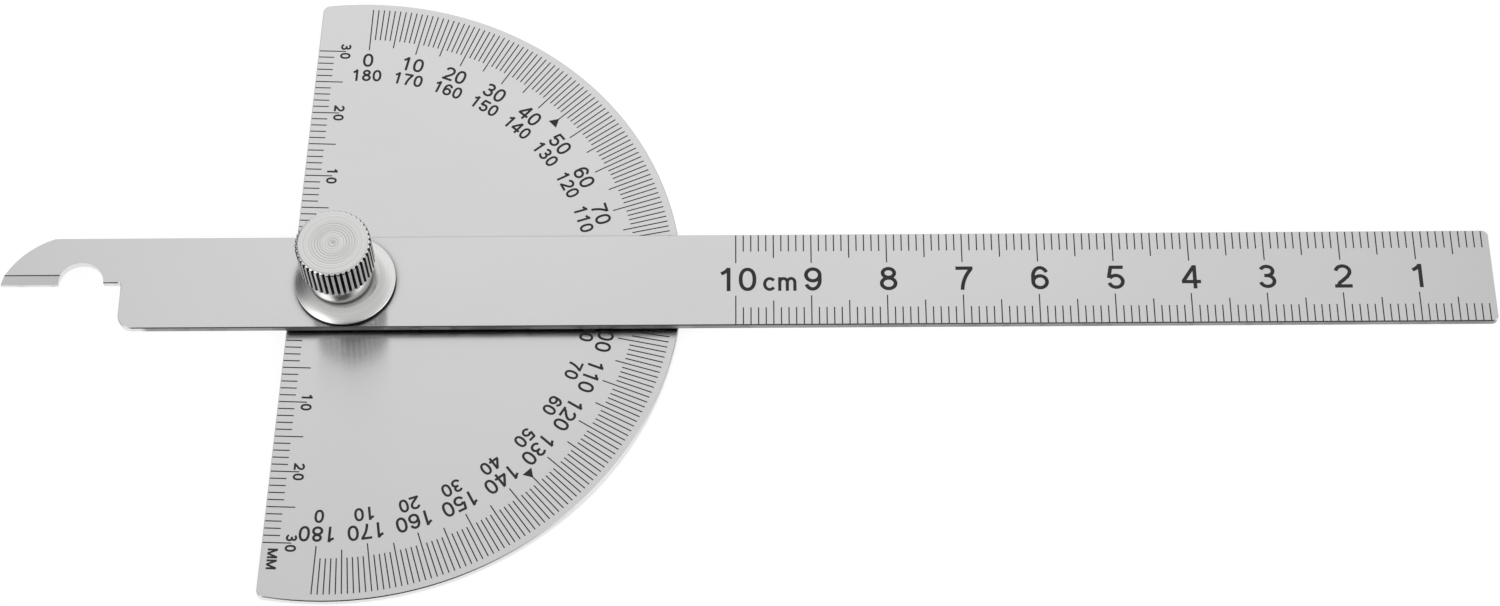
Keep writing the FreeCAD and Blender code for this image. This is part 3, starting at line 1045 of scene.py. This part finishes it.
class ANGLEFINDER_OT_nut(bpy.types.Operator):
    """Turn and knurl the thumb nut"""

    bl_idname = "angle_finder.nut"
    bl_label = "Thumb nut"

    RING_STEPS = 6

    def execute(self, context):
        nut = settings(context, "nut")
        head = reach("thumb_nut")
        columns = self.columns(nut, head)
        collar_end = NUT_SEAT + nut.collar_length
        bore_end = NUT_SEAT + nut.bore_depth
        edge = nut.wear
        level_rows = [
            (0.0, bore_end + nut.drill_point), (nut.bore_radius, bore_end),
            (nut.bore_radius, NUT_SEAT + 2 * edge), (nut.bore_radius + 2 * edge, NUT_SEAT),
            (nut.collar_radius - 2 * edge, NUT_SEAT), (nut.collar_radius, NUT_SEAT + 2 * edge),
            (nut.collar_radius, collar_end),
        ]
        bm = bmesh.new()
        rings = [self.ring(bm, [(a, radius, height) for a, r in columns])
                 for radius, height in level_rows]
        under = head - nut.lower_chamfer
        rings.append(self.ring(bm, [(a, min(under, r), collar_end) for a, r in columns]))
        rings.append(self.ring(bm, [
            (a, r, collar_end + max(0.0, r - under)) for a, r in columns]))
        for inset, drop in self.shoulder(nut.upper_chamfer):
            rings.append(self.ring(bm, [
                (a, min(head - inset, r), NUT_TOP - drop) for a, r in columns]))
        for radius, height in self.turned_rings(nut, head - 1.75 * nut.upper_chamfer):
            rings.append(self.ring(bm, [(a, radius, height) for a, r in columns]))
        for low, high in zip(rings, rings[1:]):
            skin(bm, low, high)
        clean(bm, SAME_PLACE / 2)
        finish = settings(context, "finish")

        def grooves(metal, radius, height):
            """Painted shade in the knurl's grooves, which spares the crests and the faces."""
            deep = metal.spread(radius, head / MM - 0.05, head / MM - 0.02, 1.0, 0.0)
            root = (head - nut.groove_depth) / MM
            beside = metal.spread(radius, root - 0.1, root - 0.05)
            top = (NUT_TOP - 0.5 * nut.upper_chamfer) / MM
            foot = (collar_end + 0.5 * nut.lower_chamfer) / MM
            below = metal.spread(height, top - 0.08, top, 1.0, 0.0)
            above = metal.spread(height, foot, foot + 0.08)
            return metal.math("MULTIPLY", metal.math("MULTIPLY", deep, beside),
                              metal.math("MULTIPLY", below, above))

        # Painted shade in the knurl's grooves
        nickel = turned_metal("nut_nickel", finish.nickel, finish.groove, 0.14, 0.84, dirt=grooves)
        piece = finish_piece(bm, "knurled_nut", nickel, "nut")
        bevel = piece.modifiers.new("worn_edges", "BEVEL")
        bevel.width = nut.wear
        bevel.segments = 2
        bevel.limit_method = "ANGLE"
        bevel.angle_limit = math.radians(28)
        bevel.harden_normals = True
        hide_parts("thumb_nut")
        return {"FINISHED"}

    def columns(self, nut, head):
        """Angle and radius of each upright line of the knurled head."""
        pitch = FULL_TURN / nut.grooves
        mouth = nut.groove_width / 2 / head
        land = pitch - 2 * mouth
        made = []
        for i in range(nut.grooves):
            start = i * pitch
            made.append((start, head - nut.groove_depth))
            made += [(start + mouth + land * t, head) for t in (0.0, 0.5, 1.0)]
        return made

    def shoulder(self, chamfer):
        """Inset and drop of the points from the knurl to the top face: a chamfer, then a curve."""
        shares = ((0.0, 1.0), (0.9, 0.2), (1.1, 0.1), (1.35, 0.03), (1.6, 0.0))
        return [(chamfer * inset, chamfer * drop) for inset, drop in shares]

    def ring(self, bm, corners):
        if corners[0][1] < ON_AXIS:
            return [bm.verts.new((0.0, 0.0, corners[0][2]))]
        return [bm.verts.new((r * math.cos(a), r * math.sin(a), z)) for a, r, z in corners]

    def turned_rings(self, nut, outer):
        """Shallow waves that the facing tool left, down to a pip in the middle."""
        count = int(outer / nut.ring_pitch)
        for i in range(count * self.RING_STEPS):
            t = i / self.RING_STEPS
            radius = outer - t * nut.ring_pitch
            strength = 0.35 + 0.65 * abs(math.sin(2.7 * math.floor(t) + 0.8))
            fade = min(1.0, t, 1.6 * (1 - radius / outer) + 0.15)
            dip = nut.ring_depth * strength * fade * (1 - math.cos(FULL_TURN * t)) / 2
            if radius > 0.2 * MM:
                yield radius, NUT_TOP - dip
        yield 0.16 * MM, NUT_TOP - 0.02 * MM
        yield 0.0, NUT_TOP - 0.12 * MM


class ANGLEFINDER_OT_stage(bpy.types.Operator):
    """Set up the floor, the light and the camera"""

    bl_idname = "angle_finder.stage"
    bl_label = "Stage"

    def execute(self, context):
        stage = settings(context, "stage")
        self.floor(context, stage)
        self.world(context, stage)
        self.camera(context, stage)
        context.scene.view_settings.view_transform = "Standard"
        return {"FINISHED"}

    def floor(self, context, stage):
        bm = bmesh.new()
        bmesh.ops.create_grid(bm, x_segments=8, y_segments=8, size=stage.floor_size / 2)
        mesh = bpy.data.meshes.new("floor")
        bm.to_mesh(mesh)
        bm.free()
        mesh.materials.append(self.floor_material(stage))
        floor = bpy.data.objects.new("floor", mesh)
        floor.location.z = -FLOOR_DROP
        context.scene.collection.objects.link(floor)

    def floor_material(self, stage):
        """White paper that shows a soft shadow, and white in reflections too."""
        glow = [1 - 0.6 * stage.shadow] * 3
        paper = Finish("floor_paper", Roughness=1.0, Specular_IOR_Level=0.0, Emission_Color=glow)
        speckle = paper.noise(paper.place(0.0, (900.0, 900.0, 900.0)), 2.0)
        tint = paper.blend(paper.spread(speckle, 0.3, 0.7), stage.floor, dimmed(stage.floor, 0.985))
        path = paper.add("LightPath")
        seen = paper.math("MAXIMUM", path.outputs["Is Camera Ray"], path.outputs["Is Glossy Ray"])
        seen = paper.math("MAXIMUM", seen, path.outputs["Is Transmission Ray"])
        paper.paint(Base_Color=paper.blend(seen, tint, dimmed(stage.floor, stage.shadow)),
                    Emission_Strength=seen)
        return paper.material

    def world(self, context, stage):
        """Even light from the sides that softens towards the top, with round patches."""
        world = bpy.data.worlds.new("studio")
        world.use_nodes = True
        context.scene.world = world
        sky = Nodes(world.node_tree)
        direction = sky.add("TexCoord").outputs["Generated"]
        ramp = sky.add("ValToRGB", Fac=sky.parts(direction)["Z"])
        ramp.color_ramp.interpolation = "EASE"
        for stop, place, level in zip(ramp.color_ramp.elements, (0.45, 0.85),
                                      (stage.horizon, stage.zenith)):
            stop.position = place
            stop.color = (*level, 1.0)
        light = ramp.outputs[0]
        window = [stage.window] * 3
        for name, towards, inner, outer, level in (
            ("side sheet", (0.10, 0.50, 0.86), 4, 9, stage.side_sheet),
            ("sheet", (-0.09, 0.58, 0.81), 8, 14, stage.sheet),
            ("wall", (0.1, -0.95, 0.3), 14, 40, stage.wall),
            ("corner", (-0.8, 0.42, 0.42), 4, 38, stage.corner),
            ("window", (-0.62, -0.60, 0.50), 8, 27, window),
            ("side window", (0.90, -0.29, 0.30), 6, 22, window),
        ):
            share = self.patch(sky, direction, Vector(towards).normalized(), inner, outer)
            light = sky.blend(share, light, level)
            light.node.name = name
        sky.give(sky.tree.nodes["Background"], {"Color": light, "Strength": 1.0})

    def patch(self, sky, direction, towards, inner, outer):
        """Share of a round patch, full within the inner angle and gone past the outer."""
        nearness = sky.add("VectorMath", {"operation": "DOT_PRODUCT"})
        sky.put(nearness.inputs[0], direction)
        sky.put(nearness.inputs[1], towards)
        return sky.add("MapRange", {"interpolation_type": "SMOOTHSTEP"},
                       Value=nearness.outputs["Value"], From_Min=math.cos(math.radians(outer)),
                       From_Max=math.cos(math.radians(inner))).outputs["Result"]

    def camera(self, context, stage):
        data = bpy.data.cameras.new("camera")
        data.lens = stage.lens
        data.sensor_width = 36.0
        data.shift_x = stage.lens_shift
        data.clip_start = 0.01
        data.clip_end = 20.0
        camera = bpy.data.objects.new("camera", data)
        camera.location = stage.camera_place
        towards = Vector(stage.camera_aim) - Vector(stage.camera_place)
        turn = towards.to_track_quat("-Z", "Y").to_matrix().to_4x4()
        camera.rotation_euler = (turn @ Matrix.Rotation(stage.camera_roll, 4, "Z")).to_euler()
        context.scene.collection.objects.link(camera)
        context.scene.camera = camera


OPERATORS = (
    ANGLEFINDER_OT_plate,
    ANGLEFINDER_OT_degree_scale,
    ANGLEFINDER_OT_edge_scale,
    ANGLEFINDER_OT_arm,
    ANGLEFINDER_OT_arm_scale,
    ANGLEFINDER_OT_stud,
    ANGLEFINDER_OT_washer,
    ANGLEFINDER_OT_nut,
    ANGLEFINDER_OT_stage,
)


class ANGLEFINDER_PT_sidebar(bpy.types.Panel):
    """Lists the pieces of the angle finder"""

    bl_idname = "ANGLEFINDER_PT_sidebar"
    bl_label = "Angle Finder"
    bl_space_type = "VIEW_3D"
    bl_region_type = "UI"
    bl_category = "Angle Finder"

    def draw(self, context):
        for operator in OPERATORS:
            self.layout.operator(operator.bl_idname)
        for group, kind in GROUPS.items():
            column = self.layout.column(align=True)
            column.label(text=kind.__doc__)
            for name in kind.__annotations__:
                column.prop(settings(context, group), name)


def register():
    for kind in (*GROUPS.values(), *OPERATORS, ANGLEFINDER_PT_sidebar):
        bpy.utils.register_class(kind)
    for group, kind in GROUPS.items():
        setattr(bpy.types.Scene, f"angle_finder_{group}", PointerProperty(type=kind))


def unregister():
    for group in GROUPS:
        delattr(bpy.types.Scene, f"angle_finder_{group}")
    for kind in (ANGLEFINDER_PT_sidebar, *OPERATORS, *GROUPS.values()):
        bpy.utils.unregister_class(kind)


def main():
    register()
    for operator in OPERATORS:
        category, name = operator.bl_idname.split(".")
        getattr(getattr(bpy.ops, category), name)()


if __name__ == "__main__":
    main()
